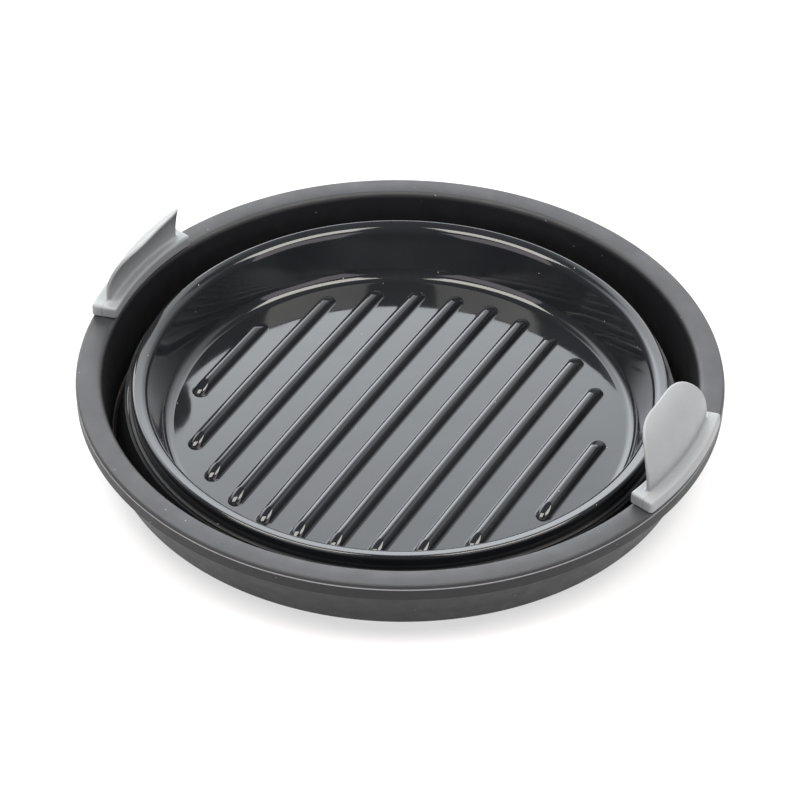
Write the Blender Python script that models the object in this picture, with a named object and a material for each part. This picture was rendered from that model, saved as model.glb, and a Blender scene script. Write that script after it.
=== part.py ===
"""Folding round wash basin with a washboard floor, stored flat.

A rigid tray with a ribbed floor stands on the table.  A soft wall joins it to a stiff
round rim, and folds down into the channel between the two.  Pulling the rim up by its
two grips turns the inner leg of the fold inside out and raises the wall.

Metres, +Z up.  The origin is on the table, under the middle of the basin.  The ribs run
along Y, and the grips stand on the rim at -X and +X.
"""

import math

import bmesh
import bpy

# ---- driving dimensions ------------------------------------------------------------

SEGMENTS = 60                       # sides of every turned ring
ARC_STEP = math.radians(24.0)       # longest step along a large fillet
SMALL_FILLET = 0.0021               # fillets up to this size take steps twice as long
GAP = 0.0003                        # air kept between pieces that touch

RIM_RADIUS = 0.1600                 # outer radius of the soft rim
RIM_TOP = 0.0361                    # height of the flat top of the rim
RIM_INNER = 0.1487                  # inner edge of the rim's flat top
LIP_HEIGHT = 0.0086                 # from the rim's top to its lower edge
SKIN = 0.0018                       # thickness of the soft material over the hoop
PARTING_Z = 0.0338                  # height of the moulding line round the rim
PARTING_STAND = 0.0004              # how far that line stands proud
RIM_INNER_ROUND = 0.0008
RIM_OUTER_ROUND = 0.0016
LIP_EDGE_EASE = 0.0005

WALL_TOP_RADIUS = 0.1570            # outer wall, just under the lip
WALL_FOOT_RADIUS = 0.1453           # outer wall, at the table
CREASE_RADIUS = 0.1432              # middle of the fold at the foot of the wall
CREASE_Z = 0.0011                   # height of that fold
FOLD_SHEET = 0.0015                 # thickness of the soft fold
WALL_TOP_EASE = 0.0005
WALL_FOOT_ROUND = 0.0010
CREASE_EASE = 0.0003
CREASE_LEDGE = 0.0004               # rise of the outer leg where it leaves the fold

HOOP_HEIGHT = 0.0059                # block of the stiff hoop inside the rim
BLADE_THICK = 0.0016                # skirt of the hoop, down into the outer wall
BLADE_FOOT_Z = 0.0195

TRAY_LIP_RADIUS = 0.1331            # outer radius of the tray's rolled lip
TRAY_LIP_INNER = 0.1263             # where the lip turns down into the tray
TRAY_LIP_Z = 0.0299                 # top of the lip
FLOOR_Z = 0.0030                    # top of the tray's floor
FLOOR_CORNER = 0.1169               # where the wall's line meets the floor
FLOOR_FILLET = 0.0065
TRAY_THICK = 0.0020
FLOOR_FLAT = 0.1070                 # the floor is flat out to here
LIP_INNER_ROUND = 0.0040
LIP_OUTER_ROUND = 0.0019
SKIRT_FOOT_Z = 0.0160               # lower edge of the skirt under the lip
FOOT_RING = (0.1080, 0.1120)        # ring that the tray stands on

RIB_COUNT = 11
RIB_PITCH = 0.01945
RIB_HALF_WIDTH = 0.0040
RIB_HEIGHT = 0.0044
RIB_CIRCLE = 0.1045                 # the ribs end on a circle of this radius
RIB_NOSE = 0.0060                   # length of a rib's sloping end
RIB_ROOT = 0.0010                   # how far a rib reaches down into the floor
RIB_SIDES = 6                       # flat steps across a rib's rounded back
RIB_NOSE_SHAPE = (                  # (share of the nose's length, share of the full section)
    (1.0, 0.22), (0.88, 0.55), (0.6, 0.82), (0.0, 1.0),
)
GROOVE_HALF_WIDTH = 0.0015          # hollow under each rib
GROOVE_TOP_Z = 0.0040
GROOVE_CROWN = 0.0006               # rise of the groove's roof to its middle

COLLAR_THICK = 0.0016               # soft edge bonded to the tray's skirt
COLLAR_TOP_Z = 0.0222
COLLAR_EASE = 0.0006
LEG_BELOW_COLLAR = 0.0008           # the fold's inner leg starts this far below that edge
LEG_FOOT_RUN = 0.0020               # level end of the inner leg at the crease
LEG_FOOT_BEND = 0.0020

GRIP_HALF_ANGLE = math.radians(14.0)
GRIP_INNER = 0.1472
GRIP_OUTER = 0.1605
GRIP_BAR_HEIGHT = 0.0061
GRIP_BAR_ROUND = 0.0009
FLAP_ROOT_RADIUS = 0.1531           # where the flap springs from the bar
FLAP_LEAN = math.radians(-7.2)      # the flap starts out leaning slightly outwards
FLAP_BEND_RADIUS = 0.02865          # and curls in over the basin on this radius
FLAP_LENGTH = 0.0336
FLAP_THICK = 0.0018
FLAP_EDGE = (                       # (share of the length, half angle in degrees)
    (0.00, 11.8), (0.28, 12.3), (0.56, 11.5), (0.76, 10.0), (0.90, 8.6), (0.97, 6.9), (1.00, 4.8),
)
PEG_ANGLES = tuple(math.radians(a) for a in (-9.0, 0.0, 9.0))
PEG_CIRCLE = 0.1536                 # radius of the circle that the pegs stand on
PEG_RADIUS = 0.0022
PEG_FOOT_Z = 0.0303
PEG_SIDES = 12
HOLE_OVERRUN = 0.0010               # a hole tool passes this far out of the material
FLAP_ROOT_SINK = 0.0015             # the flap reaches this far down into the bar
FLAP_ROWS = (0.0, 0.2, 0.4, 0.58, 0.74, 0.87, 0.95, 1.0)
FLAP_COLUMNS = 10
BAR_STEPS = 10

# ---- derived dimensions ------------------------------------------------------------

LIP_FOOT = RIM_TOP - LIP_HEIGHT                     # lower edge of the rim
HOOP_TOP = RIM_TOP - SKIN - GAP
HOOP_FOOT = HOOP_TOP - HOOP_HEIGHT
WALL_TOP_Z = LIP_FOOT - GAP
LEG_SLOPE = (RIM_INNER - CREASE_RADIUS) / (RIM_TOP - CREASE_Z)
BAR_FOOT = RIM_TOP + GAP
BAR_TOP = BAR_FOOT + GRIP_BAR_HEIGHT


def leg_radius(z):
    """Inner face of the rim and wall, which leans out from the fold to the rim."""
    return CREASE_RADIUS + LEG_SLOPE * (z - CREASE_Z)


COVER_BORE = leg_radius(LIP_FOOT) + SKIN            # inner side of the hoop's channel
COVER_OUTER = RIM_RADIUS - SKIN                     # outer side of the hoop's channel
HOOP_INNER = COVER_BORE + GAP
HOOP_OUTER = COVER_OUTER - GAP


# ---- helpers -----------------------------------------------------------------------

def clear_scene():
    for obj in list(bpy.data.objects):
        bpy.data.objects.remove(obj, do_unlink=True)


def material(name, colour, roughness):
    """A plastic material with one colour; nothing here is metal."""
    mat = bpy.data.materials.new(name)
    mat.use_nodes = True
    shader = mat.node_tree.nodes["Principled BSDF"]
    shader.inputs["Base Color"].default_value = (*colour, 1.0)
    shader.inputs["Roughness"].default_value = roughness
    shader.inputs["Metallic"].default_value = 0.0
    return mat


def object_from(bm, name, mat=None, find_outside=True):
    """Turn a bmesh into an object with its faces pointing out and round parts smooth."""
    if find_outside:
        bmesh.ops.recalc_face_normals(bm, faces=bm.faces)
    mesh = bpy.data.meshes.new(name)
    bm.to_mesh(mesh)
    bm.free()
    mesh.shade_smooth()
    mesh.set_sharp_from_angle(angle=math.radians(32.0))
    if mat:
        mesh.materials.append(mat)
    obj = bpy.data.objects.new(name, mesh)
    bpy.context.scene.collection.objects.link(obj)
    return obj


def hide_tool(obj):
    """Mark an object as a tool for a Boolean, not a piece of the basin."""
    obj.hide_render = True
    obj.display_type = "WIRE"
    return obj


def boolean(obj, tool, operation):
    mod = obj.modifiers.new(operation.lower() + "_" + tool.name, "BOOLEAN")
    mod.operation = operation
    mod.object = hide_tool(tool)
    mod.solver = "EXACT"


def rounded(corners):
    """Outline through (radius, height, fillet) corners, with arcs where fillet > 0."""
    points = []
    count = len(corners)
    for i, (x, y, fillet) in enumerate(corners):
        if fillet <= 0.0:
            points.append((x, y))
            continue
        px, py, _ = corners[i - 1]
        nx, ny, _ = corners[(i + 1) % count]
        a = math.atan2(py - y, px - x)
        b = math.atan2(ny - y, nx - x)
        turn = (b - a + math.pi) % (2.0 * math.pi) - math.pi
        half = abs(turn) / 2.0
        reach = fillet / math.sin(half)
        middle = a + turn / 2.0
        cx = x + reach * math.cos(middle)
        cy = y + reach * math.sin(middle)
        sweep = math.pi - abs(turn)
        side = 1.0 if turn > 0 else -1.0
        step = ARC_STEP if fillet > SMALL_FILLET else 2.0 * ARC_STEP
        steps = max(1, math.ceil(sweep / step))
        for k in range(steps + 1):
            angle = middle + math.pi + side * sweep * (0.5 - k / steps)
            points.append((cx + fillet * math.cos(angle), cy + fillet * math.sin(angle)))
    return points


def sheet(path, thickness):
    """Closed outline of a thin sheet that follows a path of (radius, height) points."""
    left, right = [], []
    last = len(path) - 1
    for i, (x, y) in enumerate(path):
        ax, ay = path[max(0, i - 1)]
        bx, by = path[min(last, i + 1)]
        length = math.hypot(bx - ax, by - ay)
        nx, ny = -(by - ay) / length, (bx - ax) / length
        left.append((x + nx * thickness / 2.0, y + ny * thickness / 2.0))
        right.append((x - nx * thickness / 2.0, y - ny * thickness / 2.0))
    return left + right[::-1]


def turned(name, outline, mat=None):
    """Spin a closed (radius, height) outline round Z.  Points at radius 0 become poles."""
    turns_left = sum(
        r0 * z1 - r1 * z0 for (r0, z0), (r1, z1) in zip(outline, outline[1:] + outline[:1])) > 0.0
    if not turns_left:
        outline = outline[::-1]
    bm = bmesh.new()
    rings = []
    for radius, height in outline:
        if radius <= 0.0:
            rings.append([bm.verts.new((0.0, 0.0, height))] * SEGMENTS)
            continue
        ring = []
        for k in range(SEGMENTS):
            a = 2.0 * math.pi * k / SEGMENTS
            ring.append(bm.verts.new((radius * math.cos(a), radius * math.sin(a), height)))
        rings.append(ring)
    for i, ring in enumerate(rings):
        following = rings[(i + 1) % len(rings)]
        if ring[0] is ring[1] and following[0] is following[1]:
            continue
        for k in range(SEGMENTS):
            n = (k + 1) % SEGMENTS
            corners = [ring[k], ring[n], following[n], following[k]]
            bm.faces.new(list(dict.fromkeys(corners)))
    return object_from(bm, name, mat, find_outside=False)


def on_circle(radius, angle, height):
    return (radius * math.cos(angle), radius * math.sin(angle), height)


# ---- tray --------------------------------------------------------------------------

def rib_rows():
    """Offset and half length of every rib, so that their ends lie on one circle."""
    middle = (RIB_COUNT - 1) / 2.0
    for k in range(RIB_COUNT):
        x = (k - middle) * RIB_PITCH
        yield x, math.sqrt(RIB_CIRCLE ** 2 - x ** 2)


def rib_stations(half_length):
    """Places along a rib and the share of its full section there, with sloping ends."""
    near = [(-half_length + RIB_NOSE * (1.0 - t), share) for t, share in RIB_NOSE_SHAPE]
    far = [(-y, share) for y, share in reversed(near)]
    return near + far


def add_rib(bm, x, half_length):
    """A half-round bar on the floor, closed at both ends."""
    arc = [math.pi * k / RIB_SIDES for k in range(RIB_SIDES + 1)]
    rings = []
    for y, share in rib_stations(half_length):
        ring = [bm.verts.new((x + RIB_HALF_WIDTH * share, y, FLOOR_Z - RIB_ROOT))]
        for a in arc:
            dx = RIB_HALF_WIDTH * share * math.cos(a)
            dz = RIB_HEIGHT * share * math.sin(a)
            ring.append(bm.verts.new((x + dx, y, FLOOR_Z + dz)))
        ring.append(bm.verts.new((x - RIB_HALF_WIDTH * share, y, FLOOR_Z - RIB_ROOT)))
        rings.append(ring)
    for here, there in zip(rings, rings[1:]):
        for i in range(len(here)):
            n = (i + 1) % len(here)
            bm.faces.new((here[i], here[n], there[n], there[i]))
    bm.faces.new(rings[0])
    bm.faces.new(rings[-1])


def add_groove(bm, x, half_length):
    """The hollow on the underside of a rib, which keeps the moulding one thickness."""
    end = half_length - RIB_NOSE
    crown = GROOVE_TOP_Z + GROOVE_CROWN
    section = [
        (-GROOVE_HALF_WIDTH, -FLOOR_Z), (GROOVE_HALF_WIDTH, -FLOOR_Z),
        (GROOVE_HALF_WIDTH, GROOVE_TOP_Z), (0.0, crown), (-GROOVE_HALF_WIDTH, GROOVE_TOP_Z),
    ]
    near = [bm.verts.new((x + dx, -end, z)) for dx, z in section]
    far = [bm.verts.new((x + dx, end, z)) for dx, z in section]
    for i in range(len(section)):
        n = (i + 1) % len(section)
        bm.faces.new((near[i], near[n], far[n], far[i]))
    bm.faces.new(near)
    bm.faces.new(far)


def washboard_tray(mat):
    """Rigid tray: floor, wall, rolled lip and the short skirt that hangs from the lip."""
    underside = FLOOR_Z - TRAY_THICK
    wall_slope = (TRAY_LIP_INNER - FLOOR_CORNER) / (TRAY_LIP_Z - FLOOR_Z)
    skin = TRAY_THICK * math.hypot(1.0, wall_slope)
    lip_under = TRAY_LIP_Z - TRAY_THICK
    wall_under = FLOOR_CORNER + wall_slope * (underside - FLOOR_Z) + skin
    lip_neck = FLOOR_CORNER + wall_slope * (lip_under - FLOOR_Z) + skin
    skirt_inner = TRAY_LIP_RADIUS - TRAY_THICK
    outline = rounded([
        (0.0, FLOOR_Z, 0.0),
        (FLOOR_FLAT, FLOOR_Z, 0.0),
        (FLOOR_CORNER, FLOOR_Z, FLOOR_FILLET),
        (TRAY_LIP_INNER, TRAY_LIP_Z, LIP_INNER_ROUND),
        (TRAY_LIP_RADIUS, TRAY_LIP_Z, LIP_OUTER_ROUND),
        (TRAY_LIP_RADIUS, SKIRT_FOOT_Z, 0.0),
        (skirt_inner, SKIRT_FOOT_Z, 0.0),
        (skirt_inner, lip_under, 0.0),
        (lip_neck, lip_under, 0.0),
        (wall_under, underside, FLOOR_FILLET + TRAY_THICK),
        (FOOT_RING[1], underside, 0.0),
        (FOOT_RING[1], 0.0, 0.0),
        (FOOT_RING[0], 0.0, 0.0),
        (FOOT_RING[0], underside, 0.0),
        (0.0, underside, 0.0),
    ])
    tray = turned("washboard_tray", outline, mat)
    ribs = bmesh.new()
    grooves = bmesh.new()
    for x, half_length in rib_rows():
        add_rib(ribs, x, half_length)
        add_groove(grooves, x, half_length)
    boolean(tray, object_from(ribs, "rib_tool"), "UNION")
    boolean(tray, object_from(grooves, "groove_tool"), "DIFFERENCE")
    return tray


# ---- soft wall ---------------------------------------------------------------------

def wall_collar(mat):
    """Edge of the soft wall, bonded round the tray's skirt and under its lower edge."""
    inner = TRAY_LIP_RADIUS + GAP
    outer = inner + COLLAR_THICK
    hook = TRAY_LIP_RADIUS - TRAY_THICK
    top = SKIRT_FOOT_Z - GAP
    outline = rounded([
        (inner, COLLAR_TOP_Z, 0.0),
        (outer, COLLAR_TOP_Z, COLLAR_EASE),
        (outer, top - COLLAR_THICK, COLLAR_EASE),
        (hook, top - COLLAR_THICK, 0.0),
        (hook, top, 0.0),
        (inner, top, 0.0),
    ])
    return turned("wall_collar", outline, mat)


def inner_wall(mat):
    """Inner leg of the fold: down from the collar, then out to the crease."""
    start = TRAY_LIP_RADIUS + COLLAR_THICK + 2.0 * GAP + FOLD_SHEET / 2.0
    end = CREASE_RADIUS - FOLD_SHEET / 2.0 - GAP
    path = rounded([
        (start, COLLAR_TOP_Z - LEG_BELOW_COLLAR, 0.0),
        (end - LEG_FOOT_RUN, CREASE_Z, LEG_FOOT_BEND),
        (end, CREASE_Z, 0.0),
    ])
    return turned("inner_wall", sheet(path, FOLD_SHEET), mat)


def outer_wall(mat):
    """Outer leg of the fold, thick under the rim and thin at the crease by the table."""
    slot_inner = HOOP_INNER - GAP
    slot_outer = HOOP_INNER + BLADE_THICK + GAP
    slot_foot = BLADE_FOOT_Z - GAP
    crease_top = CREASE_Z + FOLD_SHEET / 2.0
    crease_edge = CREASE_RADIUS - FOLD_SHEET / 2.0
    outline = rounded([
        (slot_outer, WALL_TOP_Z, 0.0),
        (WALL_TOP_RADIUS, WALL_TOP_Z, WALL_TOP_EASE),
        (WALL_FOOT_RADIUS, 0.0, WALL_FOOT_ROUND),
        (crease_edge, CREASE_Z - FOLD_SHEET / 2.0, CREASE_EASE),
        (crease_edge, crease_top, 0.0),
        (leg_radius(crease_top), crease_top + CREASE_LEDGE, 0.0),
        (leg_radius(WALL_TOP_Z), WALL_TOP_Z, 0.0),
        (slot_inner, WALL_TOP_Z, 0.0),
        (slot_inner, slot_foot, 0.0),
        (slot_outer, slot_foot, 0.0),
    ])
    return turned("outer_wall", outline, mat)


# ---- rim ---------------------------------------------------------------------------

def peg_holes(radius, foot, top):
    """Round tools at every peg of both grips."""
    bm = bmesh.new()
    for side in (0.0, math.pi):
        for angle in PEG_ANGLES:
            x, y, _ = on_circle(PEG_CIRCLE, side + angle, 0.0)
            made = bmesh.ops.create_cone(
                bm, cap_ends=True, segments=PEG_SIDES,
                radius1=radius, radius2=radius, depth=top - foot)
            bmesh.ops.translate(bm, verts=made["verts"], vec=(x, y, (top + foot) / 2.0))
    return object_from(bm, "peg_holes")


def rim_cover(mat):
    """Soft skin of the rim: an upside-down channel that hides the hoop."""
    channel_top = RIM_TOP - SKIN
    outline = rounded([
        (leg_radius(RIM_TOP), RIM_TOP, RIM_INNER_ROUND),
        (RIM_RADIUS, RIM_TOP, RIM_OUTER_ROUND),
        (RIM_RADIUS, PARTING_Z + PARTING_STAND, 0.0),
        (RIM_RADIUS + PARTING_STAND, PARTING_Z, 0.0),
        (RIM_RADIUS, PARTING_Z - PARTING_STAND, 0.0),
        (RIM_RADIUS, LIP_FOOT, LIP_EDGE_EASE),
        (COVER_OUTER, LIP_FOOT, 0.0),
        (COVER_OUTER, channel_top, 0.0),
        (COVER_BORE, channel_top, 0.0),
        (COVER_BORE, LIP_FOOT, 0.0),
        (leg_radius(LIP_FOOT), LIP_FOOT, 0.0),
    ])
    cover = turned("rim_cover", outline, mat)
    holes = peg_holes(PEG_RADIUS + GAP, channel_top - HOLE_OVERRUN, RIM_TOP + HOLE_OVERRUN)
    holes.name = "cover_hole_tool"
    boolean(cover, holes, "DIFFERENCE")
    return cover


def rim_hoop(mat):
    """Stiff hoop that keeps the rim round, with a skirt down into the outer wall."""
    outline = [
        (HOOP_INNER, HOOP_TOP), (HOOP_OUTER, HOOP_TOP), (HOOP_OUTER, HOOP_FOOT),
        (HOOP_INNER + BLADE_THICK, HOOP_FOOT), (HOOP_INNER + BLADE_THICK, BLADE_FOOT_Z),
        (HOOP_INNER, BLADE_FOOT_Z),
    ]
    hoop = turned("rim_hoop", outline, mat)
    holes = peg_holes(PEG_RADIUS + GAP, PEG_FOOT_Z - GAP, HOOP_TOP + HOLE_OVERRUN)
    holes.name = "hoop_hole_tool"
    boolean(hoop, holes, "DIFFERENCE")
    return hoop


# ---- grips -------------------------------------------------------------------------

def smooth_through(points, x):
    """Catmull-Rom curve through (x, y) points, read at one x."""
    i = 0
    while i < len(points) - 2 and x > points[i + 1][0]:
        i += 1
    x0, y0 = points[i]
    x1, y1 = points[i + 1]
    before = points[i - 1] if i > 0 else (2.0 * x0 - x1, y0)
    after = points[i + 2] if i + 2 < len(points) else (2.0 * x1 - x0, y1 + (y1 - y0))
    width = x1 - x0
    m0 = (y1 - before[1]) / (x1 - before[0]) * width
    m1 = (after[1] - y0) / (after[0] - x0) * width
    t = (x - x0) / width
    return ((2 * t ** 3 - 3 * t ** 2 + 1) * y0 + (t ** 3 - 2 * t ** 2 + t) * m0
            + (3 * t ** 2 - 2 * t ** 3) * y1 + (t ** 3 - t ** 2) * m1)


def flap_point(s, offset):
    """Radius and height of the flap at length s, moved by offset towards the basin."""
    lean = FLAP_LEAN + s / FLAP_BEND_RADIUS
    radius = FLAP_ROOT_RADIUS - FLAP_BEND_RADIUS * (math.cos(FLAP_LEAN) - math.cos(lean))
    height = BAR_TOP + FLAP_BEND_RADIUS * (math.sin(lean) - math.sin(FLAP_LEAN))
    return radius - offset * math.cos(lean), height - offset * math.sin(lean)


def add_flap(bm, side):
    """Thin curved panel, its root sunk a little into the bar so that they join."""
    rows = [-FLAP_ROOT_SINK] + [FLAP_LENGTH * share for share in FLAP_ROWS]
    columns = FLAP_COLUMNS
    faces_of = []
    for offset in (-FLAP_THICK / 2.0, FLAP_THICK / 2.0):
        grid = []
        for s in rows:
            half = math.radians(smooth_through(FLAP_EDGE, max(0.0, s / FLAP_LENGTH)))
            radius, height = flap_point(s, offset)
            grid.append([
                bm.verts.new(on_circle(radius, side + half * (2.0 * c / columns - 1.0), height))
                for c in range(columns + 1)])
        faces_of.append(grid)
    back, front = faces_of
    for grid in faces_of:
        for low, high in zip(grid, grid[1:]):
            for c in range(columns):
                bm.faces.new((low[c], low[c + 1], high[c + 1], high[c]))
    border = [(0, c) for c in range(columns)]
    border += [(r, columns) for r in range(len(rows) - 1)]
    border += [(len(rows) - 1, c) for c in range(columns, 0, -1)]
    border += [(r, 0) for r in range(len(rows) - 1, 0, -1)]
    for (r0, c0), (r1, c1) in zip(border, border[1:] + border[:1]):
        bm.faces.new((back[r0][c0], back[r1][c1], front[r1][c1], front[r0][c0]))


def add_bar(bm, side):
    """Curved bar that sits on the rim, with its corners eased."""
    corners = [
        (GRIP_INNER, BAR_FOOT), (GRIP_OUTER, BAR_FOOT), (GRIP_OUTER, BAR_TOP), (GRIP_INNER, BAR_TOP),
    ]
    rings = []
    for k in range(BAR_STEPS + 1):
        angle = side + GRIP_HALF_ANGLE * (2.0 * k / BAR_STEPS - 1.0)
        rings.append([bm.verts.new(on_circle(r, angle, z)) for r, z in corners])
    sides = []
    for here, there in zip(rings, rings[1:]):
        for i in range(4):
            n = (i + 1) % 4
            sides.append(bm.faces.new((here[i], here[n], there[n], there[i])))
    bm.faces.new(rings[0])
    bm.faces.new(rings[-1])
    bmesh.ops.recalc_face_normals(bm, faces=bm.faces)
    sharp = []
    for edge in bm.edges:
        if len(edge.link_faces) == 2 and edge.calc_face_angle() > math.radians(45.0):
            if edge.verts[0].co.z > BAR_FOOT + GAP or edge.verts[1].co.z > BAR_FOOT + GAP:
                sharp.append(edge)
    bmesh.ops.bevel(bm, geom=sharp, offset=GRIP_BAR_ROUND, segments=2, profile=0.5, affect="EDGES")


def add_pegs(bm, side):
    """Three pegs under the bar, which press through the skin into the hoop."""
    top = BAR_FOOT + GRIP_BAR_HEIGHT / 2.0
    for angle in PEG_ANGLES:
        x, y, _ = on_circle(PEG_CIRCLE, side + angle, 0.0)
        made = bmesh.ops.create_cone(
            bm, cap_ends=True, segments=PEG_SIDES,
            radius1=PEG_RADIUS, radius2=PEG_RADIUS, depth=top - PEG_FOOT_Z)
        bmesh.ops.translate(bm, verts=made["verts"], vec=(x, y, (top + PEG_FOOT_Z) / 2.0))


def grip(name, side, mat):
    """One grip: bar, curled flap and pegs in one moulding."""
    bar = bmesh.new()
    add_bar(bar, side)
    obj = object_from(bar, name, mat)
    flap = bmesh.new()
    add_flap(flap, side)
    boolean(obj, object_from(flap, name + "_flap_tool"), "UNION")
    pegs = bmesh.new()
    add_pegs(pegs, side)
    boolean(obj, object_from(pegs, name + "_peg_tool"), "UNION")
    return obj


# ---- the basin ---------------------------------------------------------------------

def build():
    clear_scene()
    gloss = material("tray_plastic", (0.030, 0.034, 0.038), 0.12)
    soft = material("soft_rubber", (0.055, 0.058, 0.062), 0.62)
    hard = material("hoop_plastic", (0.045, 0.047, 0.050), 0.45)
    light = material("grip_plastic", (0.42, 0.43, 0.43), 0.45)
    washboard_tray(gloss)
    wall_collar(soft)
    inner_wall(soft)
    outer_wall(soft)
    rim_cover(soft)
    rim_hoop(hard)
    grip("left_grip", math.pi, light)
    grip("right_grip", 0.0, light)


build()
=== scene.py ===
"""Looks of the folding wash basin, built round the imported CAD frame."""
import math

import bpy
import numpy as np
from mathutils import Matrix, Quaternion, Vector, geometry


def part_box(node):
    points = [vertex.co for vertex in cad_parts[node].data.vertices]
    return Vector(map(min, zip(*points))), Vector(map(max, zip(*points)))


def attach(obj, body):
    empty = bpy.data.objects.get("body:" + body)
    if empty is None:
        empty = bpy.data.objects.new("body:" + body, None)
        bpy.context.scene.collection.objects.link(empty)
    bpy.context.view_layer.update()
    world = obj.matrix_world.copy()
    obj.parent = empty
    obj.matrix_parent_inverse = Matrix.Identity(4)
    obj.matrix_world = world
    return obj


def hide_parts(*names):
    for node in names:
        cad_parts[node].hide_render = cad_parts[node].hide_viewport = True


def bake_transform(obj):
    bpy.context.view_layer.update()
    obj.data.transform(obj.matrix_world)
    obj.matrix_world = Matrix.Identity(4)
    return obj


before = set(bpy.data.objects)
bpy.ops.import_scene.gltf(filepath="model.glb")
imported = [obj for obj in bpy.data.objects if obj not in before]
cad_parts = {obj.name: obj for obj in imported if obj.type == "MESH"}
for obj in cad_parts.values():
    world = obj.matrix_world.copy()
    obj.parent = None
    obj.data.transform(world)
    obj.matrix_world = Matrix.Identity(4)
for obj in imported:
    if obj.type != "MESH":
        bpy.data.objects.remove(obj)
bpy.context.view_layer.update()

# ---- places read from the frame -----------------------------------------------------

TRAY_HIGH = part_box("washboard_tray")[1]
COVER_LOW, COVER_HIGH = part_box("rim_cover")
COLLAR_LOW, COLLAR_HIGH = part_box("wall_collar")
HOOP_LOW, HOOP_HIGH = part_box("rim_hoop")

MM = 0.001
RIM_TOP = COVER_HIGH.z
LIP_FOOT = COVER_LOW.z
RIM_RADIUS = COVER_HIGH.x - 0.4 * MM        # without the moulding line
TRAY_RADIUS = TRAY_HIGH.x
TRAY_TOP = TRAY_HIGH.z

ROOT_SHADE_RADIUS = 155.0 * MM                 # painted shade line along a grip's bar, in the flap's outer root fillet; also bumped as a shallow groove
GRIP_TOP = RIM_TOP + 6.4 * MM               # the top of that bar
PARTING_Z = 33.8 * MM                       # the moulding line round the rim
CREASE_R = 143.2 * MM                       # the fold's crease, seen as a warm hairline
ROUND = 320                                 # sides of the turned surfaces


# ---- mesh helpers -------------------------------------------------------------------

def rounded(corners, step=math.radians(6.0)):
    """Outline through (radius, height, fillet) corners, with fine arcs where fillet > 0."""
    points = []
    count = len(corners)
    for i, (x, y, fillet) in enumerate(corners):
        if fillet <= 0.0:
            points.append((x, y))
            continue
        px, py, _ = corners[i - 1]
        nx, ny, _ = corners[(i + 1) % count]
        a = math.atan2(py - y, px - x)
        b = math.atan2(ny - y, nx - x)
        turn = (b - a + math.pi) % (2.0 * math.pi) - math.pi
        middle = a + turn / 2.0
        reach = fillet / math.sin(abs(turn) / 2.0)
        cx, cy = x + reach * math.cos(middle), y + reach * math.sin(middle)
        sweep = math.pi - abs(turn)
        side = 1.0 if turn > 0 else -1.0
        steps = max(2, math.ceil(sweep / step))
        for k in range(steps + 1):
            angle = middle + math.pi + side * sweep * (0.5 - k / steps)
            points.append((cx + fillet * math.cos(angle), cy + fillet * math.sin(angle)))
    return points


class Shell:
    """Vertices and faces gathered from several patches, welded where they meet."""

    def __init__(self):
        self.verts = []
        self.faces = []
        self.index = {}

    def vert(self, point):
        key = (round(point[0] * 1e7), round(point[1] * 1e7), round(point[2] * 1e7))
        if key not in self.index:
            self.index[key] = len(self.verts)
            self.verts.append(tuple(point))
        return self.index[key]

    def face(self, points):
        ids = list(dict.fromkeys(self.vert(p) for p in points))
        if len(ids) > 2:
            self.faces.append(ids)

    def strips(self, rows, closed=True, flip=False):
        """Quads between neighbouring rows of points; closed rows run in a loop."""
        for low, high in zip(rows, rows[1:]):
            count = len(low) if closed else len(low) - 1
            for k in range(count):
                n = (k + 1) % len(low)
                quad = (low[k], low[n], high[n], high[k])
                self.face(quad[::-1] if flip else quad)

    def turned(self, outline, sides=ROUND, closed=False):
        """Surface of revolution; an outline that turns left has its outside out."""
        path = outline + outline[:1] if closed else outline
        rows = []
        for radius, height in path:
            rows.append([(radius * math.cos(2 * math.pi * k / sides),
                          radius * math.sin(2 * math.pi * k / sides), height)
                         for k in range(sides)])
        self.strips(rows)

    def piece(self, name, material, sharp=35.0):
        mesh = bpy.data.meshes.new(name)
        mesh.from_pydata(self.verts, [], self.faces)
        mesh.validate()
        mesh.shade_smooth()
        mesh.set_sharp_from_angle(angle=math.radians(sharp))
        mesh.materials.append(material)
        obj = bpy.data.objects.new(name, mesh)
        bpy.context.scene.collection.objects.link(obj)
        return obj


# ---- materials ----------------------------------------------------------------------

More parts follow.
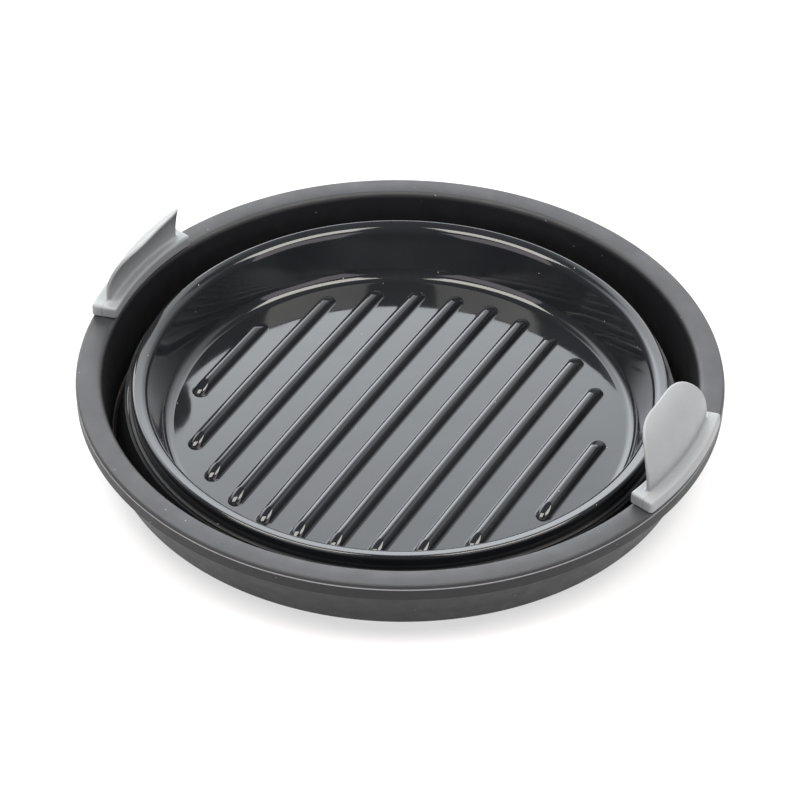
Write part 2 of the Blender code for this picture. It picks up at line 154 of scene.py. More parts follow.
class Nodes:
    """Short way to build a material's node tree."""

    def __init__(self, name, colour, roughness):
        self.mat = bpy.data.materials.new(name)
        self.mat.use_nodes = True
        self.tree = self.mat.node_tree
        self.shader = self.tree.nodes["Principled BSDF"]
        self.shader.inputs["Base Color"].default_value = (*colour, 1.0)
        self.shader.inputs["Roughness"].default_value = roughness
        self.coord = self.add("ShaderNodeTexCoord").outputs["Object"]

    def add(self, kind, **values):
        node = self.tree.nodes.new(kind)
        for key, value in values.items():
            if key in node.inputs:
                node.inputs[key].default_value = value
            else:
                setattr(node, key, value)
        return node

    def link(self, source, target):
        self.tree.links.new(source, target)

    def noise(self, scale, detail=3.0, roughness=0.55):
        node = self.add("ShaderNodeTexNoise", Scale=scale, Detail=detail, Roughness=roughness)
        self.link(self.coord, node.inputs["Vector"])
        return node.outputs["Fac"]

    def ramp(self, source, low, high, from_min, from_max):
        node = self.add("ShaderNodeMapRange", **{
            "From Min": from_min, "From Max": from_max, "To Min": low, "To Max": high})
        self.link(source, node.inputs["Value"])
        return node.outputs["Result"]

    def specks(self, scale, size, share):
        """Small round dots at random places: 1 on a dot, 0 elsewhere."""
        cells = self.add("ShaderNodeTexVoronoi", Scale=scale, feature="F1")
        self.link(self.coord, cells.inputs["Vector"])
        dot = self.ramp(cells.outputs["Distance"], 1.0, 0.0, size * 0.5, size)
        split = self.add("ShaderNodeSeparateColor")
        self.link(cells.outputs["Color"], split.inputs["Color"])
        chosen = self.add("ShaderNodeMath", operation="LESS_THAN")
        self.link(split.outputs["Red"], chosen.inputs[0])
        chosen.inputs[1].default_value = share
        return self.times(dot, chosen.outputs[0])

    def mix(self, factor, a, b):
        node = self.add("ShaderNodeMix", data_type="RGBA")
        self.link(factor, node.inputs["Factor"])
        for socket, value in (("A", a), ("B", b)):
            target = [s for s in node.inputs if s.name == socket and s.type == "RGBA"][0]
            if isinstance(value, tuple):
                target.default_value = (*value, 1.0)
            else:
                self.link(value, target)
        return [s for s in node.outputs if s.type == "RGBA"][0]

    def around(self):
        """Distance from the part's upright axis, and height, of the shaded point."""
        split = self.add("ShaderNodeSeparateXYZ")
        self.link(self.coord, split.inputs["Vector"])
        flat = self.add("ShaderNodeCombineXYZ")
        self.link(split.outputs["X"], flat.inputs["X"])
        self.link(split.outputs["Y"], flat.inputs["Y"])
        length = self.add("ShaderNodeVectorMath", operation="LENGTH")
        self.link(flat.outputs["Vector"], length.inputs[0])
        return length.outputs["Value"], split.outputs["Z"]

    def line(self, value, place, width):
        """1 where the value is at the place, falling to 0 at half the width either side."""
        gap = self.add("ShaderNodeMath", operation="SUBTRACT")
        self.link(value, gap.inputs[0])
        gap.inputs[1].default_value = place
        size = self.add("ShaderNodeMath", operation="ABSOLUTE")
        self.link(gap.outputs[0], size.inputs[0])
        return self.ramp(size.outputs[0], 1.0, 0.0, width * 0.2, width * 0.5)

    def times(self, a, b):
        node = self.add("ShaderNodeMath", operation="MULTIPLY")
        self.link(a, node.inputs[0])
        self.link(b, node.inputs[1])
        return node.outputs[0]

    def bump(self, height, strength, distance, normal=None):
        node = self.add("ShaderNodeBump", Strength=strength, Distance=distance)
        self.link(height, node.inputs["Height"])
        if normal:
            self.link(normal, node.inputs["Normal"])
        return node.outputs["Normal"]


def gloss_plastic():
    """Polished dark slate moulding, with a faint flow pattern and a few dust specks."""
    m = Nodes("tray_gloss", (0.010, 0.011, 0.013), 0.07)
    tone = m.noise(28.0, 4.0)
    base = m.mix(m.ramp(tone, 0.0, 1.0, 0.35, 0.7),
                 (0.0105, 0.0115, 0.0135), (0.0135, 0.015, 0.017))
    dust = m.specks(260.0, 0.10, 0.05)
    m.link(m.mix(dust, base, (0.32, 0.31, 0.29)), m.shader.inputs["Base Color"])
    m.link(m.ramp(m.noise(90.0, 4.0), 0.045, 0.10, 0.3, 0.7), m.shader.inputs["Roughness"])
    wave = m.bump(m.noise(45.0, 1.5), 0.10, 0.0006)
    m.link(m.bump(dust, 0.4, 0.0002, wave), m.shader.inputs["Normal"])
    m.shader.inputs["IOR"].default_value = 1.5
    return m.mat


def soft_rubber():
    """Matte mid-grey elastomer with painted shade: darker on its sides, in place of the sheen its
    top catches, and darker still in the channel. It has a painted highlight on the moulding line
    round the rim, and a crease.
    """
    m = Nodes("soft_grey", (0.014, 0.0145, 0.0165), 0.46)
    m.shader.inputs["Specular IOR Level"].default_value = 0.40
    tone = m.noise(35.0, 5.0)
    base = m.mix(m.ramp(tone, 0.0, 1.0, 0.3, 0.7),
                 (0.0200, 0.0208, 0.0232), (0.0265, 0.0273, 0.0302))
    dust = m.specks(330.0, 0.11, 0.07)
    radius, height = m.around()
    # painted shade: inside the channel (radius under about 147 mm) the colour is much darker, as
    # shade in that deep recess
    outside = m.ramp(radius, 0.0, 1.0, 146.6 * MM, 149.2 * MM)
    # painted shade: below the rim's top edge the colour is darker, in place of the sheen that the
    # top catches from the lights
    side = m.ramp(height, 1.0, 0.0, RIM_TOP - 1.8 * MM, RIM_TOP - 0.6 * MM)
    shaded = m.mix(outside, (0.0055, 0.0055, 0.0067), m.mix(side, base, (0.0065, 0.0068, 0.0080)))
    # painted highlight: a thin light line along the moulding-line ridge round the rim's outer face
    rim_edge = m.ramp(radius, 0.0, 1.0, 159.6 * MM, 160.0 * MM)
    painted_shading_line = m.times(m.line(height, PARTING_Z, 1.1 * MM), rim_edge)
    with_seam_highlight = m.mix(painted_shading_line, shaded, (0.20, 0.20, 0.21))
    crease = m.times(m.line(radius, CREASE_R, 0.9 * MM), m.line(height, 2.3 * MM, 2.2 * MM))
    with_seam_highlight = m.mix(crease, with_seam_highlight, (0.105, 0.076, 0.060))
    m.link(m.mix(dust, with_seam_highlight, (0.30, 0.30, 0.29)), m.shader.inputs["Base Color"])
    m.link(m.ramp(m.noise(120.0, 4.0), 0.44, 0.54, 0.3, 0.7), m.shader.inputs["Roughness"])
    grain = m.bump(m.noise(2600.0, 2.0), 0.22, 0.00008)
    m.link(m.bump(m.noise(60.0, 2.0), 0.12, 0.0008, grain), m.shader.inputs["Normal"])
    return m.mat


def grip_plastic():
    """Satin light grey moulding, with a line of painted shade along the bar in the flap's outer
    root fillet, bumped as a shallow groove.
    """
    m = Nodes("grip_grey", (0.225, 0.236, 0.243), 0.42)
    tone = m.noise(40.0, 4.0)
    base = m.mix(m.ramp(tone, 0.0, 1.0, 0.3, 0.7), (0.215, 0.226, 0.233), (0.238, 0.250, 0.257))
    radius, height = m.around()
    # painted shade: a darker line along the bar in the flap's outer root fillet, where shade falls
    # in that corner; its bump makes a shallow groove
    low = m.ramp(height, 1.0, 0.0, GRIP_TOP - 0.2 * MM, GRIP_TOP + 0.4 * MM)
    painted_shading_line = m.times(m.line(radius, ROOT_SHADE_RADIUS, 0.5 * MM), low)
    base = m.mix(painted_shading_line, base, (0.14, 0.143, 0.147))
    dust = m.specks(300.0, 0.09, 0.03)
    m.link(m.mix(dust, base, (0.25, 0.25, 0.25)), m.shader.inputs["Base Color"])
    m.link(m.ramp(m.noise(150.0, 3.0), 0.38, 0.5, 0.3, 0.7), m.shader.inputs["Roughness"])
    grain = m.bump(m.noise(1500.0, 2.0), 0.12, 0.00008)
    m.link(m.bump(painted_shading_line, 0.6, 0.0002, grain), m.shader.inputs["Normal"])
    return m.mat


def hoop_plastic():
    """Unpolished structural plastic, hidden inside the rim."""
    m = Nodes("hoop_grey", (0.06, 0.062, 0.065), 0.5)
    tone = m.noise(50.0, 4.0)
    m.link(m.mix(tone, (0.05, 0.052, 0.055), (0.07, 0.072, 0.075)), m.shader.inputs["Base Color"])
    m.link(m.bump(m.noise(900.0, 2.0), 0.2, 0.0001), m.shader.inputs["Normal"])
    return m.mat


GLOSS = gloss_plastic()
SOFT = soft_rubber()
LIGHT = grip_plastic()
HARD = hoop_plastic()

# ---- tray ---------------------------------------------------------------------------

FLOOR_Z = 2.9 * MM
UNDER_Z = 0.9 * MM
FLOOR_EDGE = 112.6 * MM                      # the ribbed floor ends here
FLOOR_DOME = 1.5 * MM                        # its middle is this much higher than its edge
FLOOR_FILLET = 6.5 * MM
WALL_LEAN = math.radians(19.0)               # the tray's wall, from the vertical
LIP_CORNER = (125.9 * MM, TRAY_TOP - 1.10 * MM)
SKIRT_FOOT_Z = COLLAR_LOW.z + 1.9 * MM
RIB_COUNT = 11
RIB_PITCH = 19.4 * MM
RIB_SHIFT = -1.2 * MM                        # the row sits a little to the left grip's side
RIB_CIRCLE = 104.8 * MM
RIB_END_HALF = 34.0 * MM                     # half length of the first and last rib
RIB_HALF = 4.5 * MM                          # half width, root fillets included
RIB_HEIGHT = 4.5 * MM
RIB_CROWN = 3.2 * MM                         # radius of a rib's back
RIB_ROOT = 1.2 * MM                          # radius of the fillet at its foot
RIB_FLANK = math.radians(77.0)
FOOT_RING = (108.0 * MM, 112.0 * MM)         # ring that the tray stands on
FLOOR_GRID = 5.0 * MM                        # spacing of the floor's own vertices
RIB_TIP = 1.15                               # how much longer a rib's end is than it is wide
RIB_RUN = 9.5 * MM                           # how far its crest draws back from that end
RIB_RUN_CURVE = 1.9


def floor_height(x, y):
    return FLOOR_Z + FLOOR_DOME * (1.0 - (x * x + y * y) / FLOOR_EDGE ** 2)


def rib_section():
    """(distance from the rib's spine, height) from the flat floor up to the crest."""
    points = [(RIB_HALF + 0.5 * MM, 0.0)]
    for k in range(9):
        a = RIB_FLANK * k / 8
        points.append((RIB_HALF - RIB_ROOT * math.sin(a), RIB_ROOT * (1.0 - math.cos(a))))
    for k in range(17):
        a = RIB_FLANK * (1.0 - k / 16)
        points.append((RIB_CROWN * math.sin(a), RIB_HEIGHT - RIB_CROWN * (1.0 - math.cos(a))))
    return points


def spine_end(half_length, offset, height=0.0):
    """Where the round end of a rib's outline begins, this far from the spine and this high."""
    return half_length - RIB_RUN * (height / RIB_HEIGHT) ** RIB_RUN_CURVE - RIB_TIP * offset


def stadium(x, half_length, offset, height=0.0, sides=20, steps=24):
    """Loop round a spine along Y at the given distance, with blunt ends."""
    end = spine_end(half_length, offset, height)
    loop = []
    for sign in (1.0, -1.0):
        for k in range(sides + 1):
            a = math.pi * k / sides
            loop.append((x + sign * offset * math.cos(a),
                         sign * (end + offset * RIB_TIP * math.sin(a))))
        for k in range(1, steps):
            loop.append((x - sign * offset, sign * end * (1.0 - 2.0 * k / steps)))
    return loop


def inside_rib(px, py, ribs, offset, reach):
    """True where a point of the floor is under a rib or this close to one's spine."""
    for x, half_length in ribs:
        dy = max(0.0, abs(py) - spine_end(half_length, reach)) / RIB_TIP
        if math.hypot(px - x, dy) < offset:
            return True
    return False


def floor_patch(shell):
    """Slightly domed floor round the ribs, and the ribs themselves."""
    section = rib_section()
    reach = section[0][0]
    points = [Vector((FLOOR_EDGE * math.cos(2 * math.pi * k / ROUND),
                      FLOOR_EDGE * math.sin(2 * math.pi * k / ROUND))) for k in range(ROUND)]
    edges = [(k, (k + 1) % ROUND) for k in range(ROUND)]
    ribs = []
    for i in range(RIB_COUNT):
        x = (i - (RIB_COUNT - 1) / 2) * RIB_PITCH
        half_length = math.sqrt(RIB_CIRCLE ** 2 - x ** 2)
        if i in (0, RIB_COUNT - 1):
            half_length = RIB_END_HALF
        ribs.append((x + RIB_SHIFT, half_length))
    for x, half_length in ribs:
        outer = stadium(x, half_length, reach)
        first = len(points)
        points += [Vector(p) for p in outer]
        edges += [(first + k, first + (k + 1) % len(outer)) for k in range(len(outer))]
        shell.strips([[(px, py, floor_height(px, py) + z)
                       for px, py in stadium(x, half_length, d, z)] for d, z in section])
    count = int(FLOOR_EDGE / FLOOR_GRID)
    for i in range(-count, count + 1):
        for j in range(-count, count + 1):
            px, py = i * FLOOR_GRID, j * FLOOR_GRID
            if math.hypot(px, py) < FLOOR_EDGE - FLOOR_GRID / 2 and \
                    not inside_rib(px, py, ribs, reach + 1.0 * MM, reach):
                points.append(Vector((px, py)))
    flat = geometry.delaunay_2d_cdt(points, edges, [], 0, 1e-9)
    for tri in flat[2]:
        corners = [flat[0][v] for v in tri]
        cx = sum(c.x for c in corners) / 3.0
        cy = sum(c.y for c in corners) / 3.0
        if math.hypot(cx, cy) < FLOOR_EDGE and not inside_rib(cx, cy, ribs, reach * 0.999, reach):
            shell.face([(c.x, c.y, floor_height(c.x, c.y)) for c in corners])


def make_tray():
    shell = Shell()
    floor_patch(shell)
    fall = -math.atan(2.0 * FLOOR_DOME / FLOOR_EDGE)
    wall_angle = math.pi / 2 - WALL_LEAN
    path = []
    for k in range(31):
        a = fall + (wall_angle - fall) * k / 30
        path.append((FLOOR_EDGE + FLOOR_FILLET * (math.sin(a) - math.sin(fall)),
                     FLOOR_Z + FLOOR_FILLET * (math.cos(fall) - math.cos(a)), 0.0))
    lip_neck = (LIP_CORNER[0] + 2.0 * MM, TRAY_TOP - 2.4 * MM)
    foot_corner = LIP_CORNER[0] - (LIP_CORNER[1] - UNDER_Z) * math.tan(WALL_LEAN) + 2.1 * MM
    skirt_in = TRAY_RADIUS - 2.0 * MM
    outline = path + rounded([
        (*path[-1][:2], 0.0),
        (*LIP_CORNER, 5.7 * MM),
        (TRAY_RADIUS, TRAY_TOP + 0.10 * MM, 1.7 * MM),
        (TRAY_RADIUS, SKIRT_FOOT_Z, 0.3 * MM),
        (skirt_in, SKIRT_FOOT_Z, 0.3 * MM),
        (skirt_in, lip_neck[1], 0.6 * MM),
        (*lip_neck, 1.2 * MM),
        (foot_corner, UNDER_Z, 8.0 * MM),
        (FOOT_RING[1], UNDER_Z, 0.2 * MM),
        (FOOT_RING[1], 0.0, 0.2 * MM),
        (FOOT_RING[0], 0.0, 0.2 * MM),
        (FOOT_RING[0], UNDER_Z, 0.3 * MM),
        (0.0, UNDER_Z, 0.0),
    ], math.radians(3.0))[1:]
    outline = [(p[0], p[1]) for p in outline]
    shell.turned(outline[::-1])
    obj = shell.piece("tray_skin", GLOSS)
    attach(obj, "tray")
    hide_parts("washboard_tray")
    return obj


# ---- soft wall and rim --------------------------------------------------------------

CREASE_Z = 1.1 * MM
SHEET = 1.5 * MM
RIM_INNER = 147.2 * MM                       # where the rim's top and inner face would meet
CREASE_EDGE = 142.45 * MM                    # where the two legs of the fold meet
HOOP_GAP = 0.3 * MM                          # air round the hoop
HOOP_BORE = 149.1 * MM                       # inner side of the hollow for the hoop
BLADE_OUTER = 151.4 * MM                     # outer side of the hollow for the hoop's skirt
BLADE_TOP = 27.8 * MM                        # where that skirt begins, below the hoop's block


def make_rim_skin():
    """Rim and outer leg of the fold in one soft skin, hollow round the hoop."""
    shell = Shell()
    outline = rounded([
        (RIM_INNER + 0.2 * MM, RIM_TOP - 0.55 * MM, 3.3 * MM),
        (153.6 * MM, RIM_TOP, 36.0 * MM),
        (RIM_RADIUS, RIM_TOP, 1.3 * MM),
        (RIM_RADIUS, PARTING_Z + 0.35 * MM, 0.1 * MM),
        (RIM_RADIUS + 0.32 * MM, PARTING_Z, 0.12 * MM),
        (RIM_RADIUS, PARTING_Z - 0.35 * MM, 0.1 * MM),
        (RIM_RADIUS + 0.1 * MM, LIP_FOOT, 0.35 * MM),
        (157.6 * MM, LIP_FOOT + 0.1 * MM, 0.5 * MM),
        (156.9 * MM, LIP_FOOT - 1.6 * MM, 1.0 * MM),
        (145.3 * MM, 0.0, 1.1 * MM),
        (CREASE_EDGE, 0.35 * MM, 0.25 * MM),
        (CREASE_EDGE, 1.85 * MM, 0.0),
        (143.4 * MM, 2.3 * MM, 0.4 * MM),
    ])
    shell.turned(outline[::-1], closed=True)
    cavity = [
        (HOOP_HIGH.x + HOOP_GAP, HOOP_HIGH.z + HOOP_GAP),
        (HOOP_BORE, HOOP_HIGH.z + HOOP_GAP),
        (HOOP_BORE, HOOP_LOW.z - HOOP_GAP),
        (BLADE_OUTER, HOOP_LOW.z - HOOP_GAP),
        (BLADE_OUTER, BLADE_TOP),
        (HOOP_HIGH.x + HOOP_GAP, BLADE_TOP),
    ]
    shell.turned(cavity[::-1], closed=True)
    obj = shell.piece("rim_skin", SOFT)
    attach(obj, "rim")
    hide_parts("rim_cover", "outer_wall")
    return obj


def make_fold_leg():
    """Inner leg of the fold: a soft sheet from the collar down to the crease."""
    top = (COLLAR_HIGH.x + 0.2 * MM + SHEET / 2, COLLAR_HIGH.z - 0.8 * MM)
    foot = (CREASE_EDGE, CREASE_Z)
    bend = (foot[0] - 1.8 * MM, CREASE_Z)
    steps = 48
    path = []
    for k in range(steps + 1):
        t = k / steps
        path.append((top[0] + (bend[0] - top[0]) * t, top[1] + (bend[1] - top[1]) * t))
    path = rounded([(p[0], p[1], 0.0) for p in path[:-5]]
                   + [(bend[0], bend[1], 1.6 * MM), (*foot, 0.0)])
    left, right = [], []
    for i, (x, y) in enumerate(path):
        ax, ay = path[max(0, i - 1)]
        bx, by = path[min(len(path) - 1, i + 1)]
        length = math.hypot(bx - ax, by - ay)
        nx, ny = -(by - ay) / length, (bx - ax) / length
        left.append((x + nx * SHEET / 2, y + ny * SHEET / 2))
        right.append((x - nx * SHEET / 2, y - ny * SHEET / 2))
    outline = left + right[::-1]
    shell = Shell()
    shell.turned(outline[::-1], closed=True)
    obj = shell.piece("fold_leg", SOFT)
    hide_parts("inner_wall")
    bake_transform(obj)
    return obj


def make_collar():
    """Edge of the soft wall, moulded round the foot of the tray's skirt."""
    shell = Shell()
    inner = TRAY_RADIUS
    outer = COLLAR_HIGH.x
    foot = COLLAR_LOW.z
    outline = rounded([
        (inner, COLLAR_HIGH.z, 0.3 * MM),
        (outer, COLLAR_HIGH.z - 0.2 * MM, 0.7 * MM),
        (outer, foot, 0.7 * MM),
        (inner - 2.0 * MM, foot, 0.5 * MM),
        (inner - 2.0 * MM, SKIRT_FOOT_Z - 0.02 * MM, 0.0),
        (inner, SKIRT_FOOT_Z - 0.02 * MM, 0.0),
    ])
    shell.turned(outline[::-1], closed=True)
    obj = shell.piece("collar_skin", SOFT)
    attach(obj, "tray")
    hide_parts("wall_collar")
    return obj


# ---- grips --------------------------------------------------------------------------

GRIP_FOOT = RIM_TOP + 0.3 * MM
BAR_HEIGHT = GRIP_TOP - GRIP_FOOT
BAR_HALF_ANGLE = math.radians(14.0)
BAR_INNER = 147.2 * MM
BAR_OUTER = 160.5 * MM
BAR_ROUND = 1.3 * MM
ARC_RADIUS = 153.5 * MM                      # lengths along a grip are measured here
FLAP_ROOT = 153.1 * MM
FLAP_LEAN = math.radians(-7.2)
FLAP_BEND = 28.65 * MM
FLAP_THICK = (2.3 * MM, 1.7 * MM)            # at the root, at the edge
ROOT_BLEND = 1.7 * MM
FLAP_OUTLINE = (                             # (half width, length up the flap), millimetres
    (32.0, -4.0), (32.0, 0.0), (32.3, 6.0), (32.0, 12.0), (30.8, 17.0), (28.6, 22.0),
    (25.7, 26.5), (21.8, 30.0), (17.0, 32.3), (12.0, 33.4), (6.0, 33.7), (0.0, 33.7),
)
PEG_ANGLES = tuple(math.radians(a) for a in (-9.0, 0.0, 9.0))
PEG_CIRCLE = 153.6 * MM
PEG_RADIUS = 2.2 * MM
PEG_FOOT = 30.3 * MM


def smooth_outline():
    """Closed, finely divided outline of the flap in metres."""
    half = [Vector(p) * MM for p in FLAP_OUTLINE]
    corners = half + [Vector((-p.x, p.y)) for p in half[-2::-1]]
    points = []
    for i in range(len(corners) - 1):
        before = corners[max(0, i - 1)]
        after = corners[min(len(corners) - 1, i + 2)]
        for k in range(6):
            t = k / 6
            a, b = corners[i], corners[i + 1]
            m0, m1 = (b - before) / 2, (after - a) / 2
            points.append((2 * t ** 3 - 3 * t ** 2 + 1) * a + (t ** 3 - 2 * t ** 2 + t) * m0
                          + (3 * t ** 2 - 2 * t ** 3) * b + (t ** 3 - t ** 2) * m1)
    points.append(corners[-1])
    return np.array([tuple(p) for p in points])


def polygon_distance(x, y, polygon):
    """Signed distance to a closed polygon, negative inside."""
    best = np.full(x.shape, 1.0)
    inside = np.zeros(x.shape, bool)
    for (ax, ay), (bx, by) in zip(polygon, np.roll(polygon, -1, axis=0)):
        ex, ey = bx - ax, by - ay
        wx, wy = x - ax, y - ay
        t = np.clip((wx * ex + wy * ey) / (ex * ex + ey * ey), 0, 1)
        best = np.minimum(best, (wx - ex * t) ** 2 + (wy - ey * t) ** 2)
        crosses = (ay > y) != (by > y)
        if ey != 0:
            inside ^= crosses & (x < ex * (y - ay) / ey + ax)
    return np.sqrt(best) * np.where(inside, -1, 1)


def rounded_join(a, b, radius):
    """Distance to two shapes' common part, with its edge rounded."""
    corner = np.hypot(np.maximum(a + radius, 0), np.maximum(b + radius, 0))
    return corner + np.minimum(np.maximum(a, b) + radius, 0) - radius


def smooth_union(a, b, size):
    h = np.maximum(size - np.abs(a - b), 0) / size
    return np.minimum(a, b) - h * h * size / 4


class GripShape:
    """Signed distance to one grip, in lengths along the rim, radius and height."""

    def __init__(self):
        self.outline = smooth_outline()
        self.centre = (FLAP_ROOT - FLAP_BEND * math.cos(FLAP_LEAN),
                       GRIP_FOOT + BAR_HEIGHT - FLAP_BEND * math.sin(FLAP_LEAN))

    def flap(self, u, r, z):
        dr, dz = r - self.centre[0], z - self.centre[1]
        lean = np.arctan2(dz, dr)
        length = (lean - FLAP_LEAN) * FLAP_BEND
        share = np.clip(length / (33.0 * MM), 0, 1)
        thick = FLAP_THICK[0] + (FLAP_THICK[1] - FLAP_THICK[0]) * share
        across = np.abs(np.hypot(dr, dz) - FLAP_BEND) - thick / 2
        edge = polygon_distance(u, length, self.outline)
        return rounded_join(edge, across, 0.75 * MM)

    def bar(self, u, r, z):
        half = BAR_HALF_ANGLE * ARC_RADIUS
        along = np.abs(u) - half
        middle = (BAR_INNER + BAR_OUTER) / 2
        across = np.abs(r - middle) - (BAR_OUTER - BAR_INNER) / 2
        top = z - (GRIP_FOOT + BAR_HEIGHT)
        ends = rounded_join(along, across, BAR_ROUND * 1.1)
        body = rounded_join(ends, top, BAR_ROUND)
        return rounded_join(body, GRIP_FOOT - z, 0.25 * MM)

    def __call__(self, u, r, z):
        body = smooth_union(self.bar(u, r, z), self.flap(u, r, z), ROOT_BLEND)
        body = np.maximum(body, GRIP_FOOT - z)
        for angle in PEG_ANGLES:
            peg = np.hypot(u - angle * ARC_RADIUS, r - PEG_CIRCLE) - PEG_RADIUS
            peg = rounded_join(peg, np.abs(z - (PEG_FOOT + GRIP_FOOT) / 2 - 0.5 * MM)
                               - (GRIP_FOOT - PEG_FOOT) / 2 - 0.5 * MM, 0.3 * MM)
            body = np.minimum(body, peg)
        return body


def surface_net(shape, low, high, pitch):
    """Quad mesh of a shape's surface: one vertex in every grid cell that it crosses."""
    counts = [int(math.ceil((b - a) / pitch)) + 1 for a, b in zip(low, high)]
    axes = [a + np.arange(n) * pitch for a, n in zip(low, counts)]
    value = np.empty(counts)
    for i, u in enumerate(axes[0]):
        r, z = np.meshgrid(axes[1], axes[2], indexing="ij")
        value[i] = shape(np.full(r.shape, u), r, z)
    sign = value < 0
    corners = [(i, j, k) for i in (0, 1) for j in (0, 1) for k in (0, 1)]
    nx, ny, nz = (n - 1 for n in counts)

    def part(array, c):
        return array[c[0]:c[0] + nx, c[1]:c[1] + ny, c[2]:c[2] + nz]

    total = sum(part(sign, c).astype(int) for c in corners)
    active = (total > 0) & (total < 8)
    sums = np.zeros(active.shape + (3,))
    hits = np.zeros(active.shape)
    for a in corners:
        for axis in range(3):
            if a[axis]:
                continue
            b = tuple(1 if d == axis else a[d] for d in range(3))
            va, vb = part(value, a), part(value, b)
            crossed = (va < 0) != (vb < 0)
            t = np.where(crossed, va / np.where(crossed, va - vb, 1), 0)
            for d in range(3):
                place = a[d] + (t if d == axis else 0)
                sums[..., d] += np.where(crossed, place, 0)
            hits += crossed
    cells = np.argwhere(active)
    index = np.full(active.shape, -1)
    index[tuple(cells.T)] = np.arange(len(cells))
    offset = sums[tuple(cells.T)] / hits[tuple(cells.T)][:, None]
    verts = (cells + offset) * pitch + np.array(low)
    faces = []
    for axis in range(3):
        o1, o2 = [d for d in range(3) if d != axis]
        low_sign = sign[tuple(slice(1, -1) if d != axis else slice(0, -1) for d in range(3))]
        high_sign = sign[tuple(slice(1, -1) if d != axis else slice(1, None) for d in range(3))]
        for cell in np.argwhere(low_sign != high_sign):
            base = cell.copy()
            base[o1] += 1
            base[o2] += 1
            ring = []
            for s1, s2 in ((-1, -1), (0, -1), (0, 0), (-1, 0)):
                q = base.copy()
                q[o1] += s1
                q[o2] += s2
                ring.append(index[tuple(q)])
            solid_low = low_sign[tuple(cell)]
            if solid_low == (axis == 1):
                ring = ring[::-1]
            faces.append(ring)
    return verts, faces


def onto_surface(shape, verts, rounds=3):
    """Slide every vertex on to the surface along the shape's slope."""
    step = 0.02 * MM
    for _ in range(rounds):
        u, r, z = verts.T
        here = shape(u, r, z)
        slope = np.stack([(shape(u + step, r, z) - shape(u - step, r, z)),
                          (shape(u, r + step, z) - shape(u, r - step, z)),
                          (shape(u, r, z + step) - shape(u, r, z - step))], 1) / (2 * step)
        size = np.maximum((slope ** 2).sum(1), 0.2)
        move = np.clip(here / size, -0.3 * MM, 0.3 * MM)
        verts = verts - slope * move[:, None]
    return verts


def make_grips():
    shape = GripShape()
    pitch = 0.6 * MM
    half = BAR_HALF_ANGLE * ARC_RADIUS + 2 * MM
    verts, faces = surface_net(
        shape, (-half, 137.0 * MM, PEG_FOOT - 1.2 * MM), (half, 163.0 * MM, 74.0 * MM), pitch)
    verts = onto_surface(shape, verts)
    for name, side in (("right_grip", 0.0), ("left_grip", math.pi)):
        angle = side + verts[:, 0] / ARC_RADIUS
        radius = verts[:, 1]
        placed = np.stack([radius * np.cos(angle), radius * np.sin(angle), verts[:, 2]], 1)
        shell = Shell()
        shell.verts = [tuple(p) for p in placed]
        shell.faces = [[int(i) for i in f[::-1]] for f in faces]
        obj = shell.piece(name + "_skin", LIGHT, 60.0)
        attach(obj, "rim")
        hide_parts(name)


# ---- stage, lights and camera -------------------------------------------------------

def emitter(name, location, size, strength, colour=(1, 1, 1), target=(0, 0, 0.02), turn=0.0):
    data = bpy.data.lights.new(name, "AREA")
    data.shape = "RECTANGLE"
    data.size, data.size_y = size
    data.energy = strength
    data.color = colour
    obj = bpy.data.objects.new(name, data)
    bpy.context.scene.collection.objects.link(obj)
    obj.location = location
    obj.rotation_mode = "QUATERNION"
    aim = (Vector(location) - Vector(target)).to_track_quat("Z", "Y")
    obj.rotation_quaternion = aim @ Quaternion((0, 0, 1), turn)
    return obj


STRIP_TURN = math.radians(-47.5)
SKY_FADES = (                                # (direction, dark at, bright at, soft ends)
    ("up", math.sin(math.radians(72.0)), math.sin(math.radians(31.0)), False),
    ("up", -0.35, 0.5, False),
    ("up", math.sin(math.radians(53.0)), math.sin(math.radians(46.0)), True),
    ("away", 0.0, 0.25, True),
    ("right", 0.95, -0.10, False),
    ("right", -0.85, -0.5, True),
)
SKY_STRENGTH = 7.0
SKY_FILL = 0.12
AZIMUTH = math.radians(28.2)
ELEVATION = math.radians(38.8)
DISTANCE = 1.7274
LENS = 157.2
TILT = math.radians(-0.5225)
ROLL = math.radians(0.711)


def from_camera_side(x, y, z):
    """A place given with x to the camera's right and y away from it."""
    c, s = math.cos(AZIMUTH), math.sin(AZIMUTH)
    return (x * c - y * s, x * s + y * c, z)


def make_camera():
    data = bpy.data.cameras.new("camera")
    data.lens = LENS
    data.clip_start = 0.05
    data.clip_end = 50.0
    cam = bpy.data.objects.new("camera", data)
    bpy.context.scene.collection.objects.link(cam)
    back = Vector((math.sin(AZIMUTH) * math.cos(ELEVATION),
                   -math.cos(AZIMUTH) * math.cos(ELEVATION), math.sin(ELEVATION)))
    cam.location = Vector((0, 0, RIM_TOP)) + back * DISTANCE
    aim = (-back).to_track_quat("-Z", "Y")
    cam.rotation_mode = "QUATERNION"
    cam.rotation_quaternion = aim @ Quaternion((1, 0, 0), TILT) @ Quaternion((0, 0, 1), ROLL)
    bpy.context.scene.camera = cam


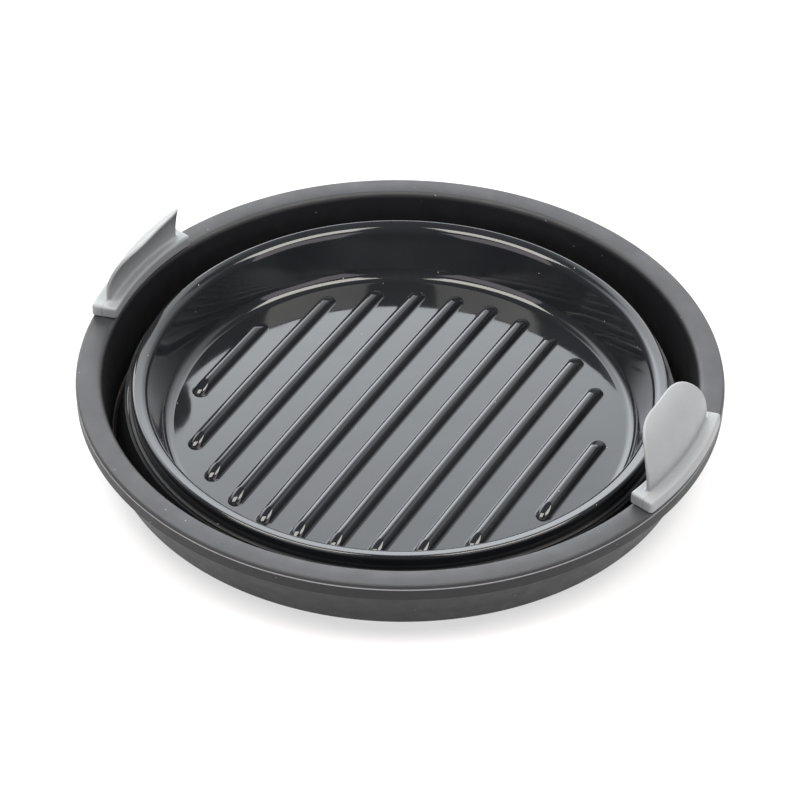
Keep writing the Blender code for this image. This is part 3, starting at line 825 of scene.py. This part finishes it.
def make_sky():
    """Soft bright backdrop on the far side, fading upwards and to the sides."""
    world = bpy.data.worlds.new("world")
    world.use_nodes = True
    tree = world.node_tree
    add, link = tree.nodes.new, tree.links.new
    coord = add("ShaderNodeTexCoord").outputs["Generated"]
    split = add("ShaderNodeSeparateXYZ")
    link(coord, split.inputs["Vector"])
    along = {"up": split.outputs["Z"]}
    for name, way in (("away", (0.0, 1.0, 0.0)), ("right", (1.0, 0.0, 0.0))):
        dot = add("ShaderNodeVectorMath")
        dot.operation = "DOT_PRODUCT"
        link(coord, dot.inputs[0])
        dot.inputs[1].default_value = from_camera_side(*way)
        along[name] = dot.outputs["Value"]
    total = None
    for name, dark, bright, smooth in SKY_FADES:
        fade = add("ShaderNodeMapRange")
        fade.interpolation_type = "SMOOTHSTEP" if smooth else "LINEAR"
        fade.inputs["From Min"].default_value = dark
        fade.inputs["From Max"].default_value = bright
        link(along[name], fade.inputs["Value"])
        if total is None:
            total = fade.outputs["Result"]
            continue
        both = add("ShaderNodeMath")
        both.operation = "MULTIPLY"
        link(total, both.inputs[0])
        link(fade.outputs["Result"], both.inputs[1])
        total = both.outputs[0]
    strength = add("ShaderNodeMath")
    strength.operation = "MULTIPLY_ADD"
    link(total, strength.inputs[0])
    strength.inputs[1].default_value = SKY_STRENGTH
    strength.inputs[2].default_value = SKY_FILL
    background = tree.nodes["Background"]
    background.inputs["Color"].default_value = (0.93, 0.965, 1.0, 1.0)
    link(strength.outputs[0], background.inputs["Strength"])
    bpy.context.scene.world = world


def make_stage():
    mat = Nodes("floor_white", (0.35, 0.35, 0.35), 0.7)
    mat.shader.inputs["Emission Color"].default_value = (1, 1, 1, 1)
    mat.shader.inputs["Emission Strength"].default_value = 0.55
    shell = Shell()
    shell.face([(-6, -6, -0.0004), (6, -6, -0.0004), (6, 6, -0.0004), (-6, 6, -0.0004)])
    floor = shell.piece("floor", mat.mat)
    make_sky()
    warm, mauve = (1.0, 0.97, 0.91), (1.0, 0.93, 0.99)
    for name, side in (("left", -1.0), ("right", 1.0)):
        emitter("strip_" + name, from_camera_side(side * 0.82, -0.25, 1.9), (1.16, 0.95), 38.0,
                warm, turn=side * STRIP_TURN)
        emitter("card_" + name, from_camera_side(side * 1.25, -1.2, 0.88), (1.5, 1.4), 13.5, mauve)
    bpy.context.scene.view_settings.view_transform = "Standard"


make_camera()
make_stage()
make_tray()
make_rim_skin()
make_fold_leg()
make_collar()
make_grips()
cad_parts["rim_hoop"].data.materials[0] = HARD
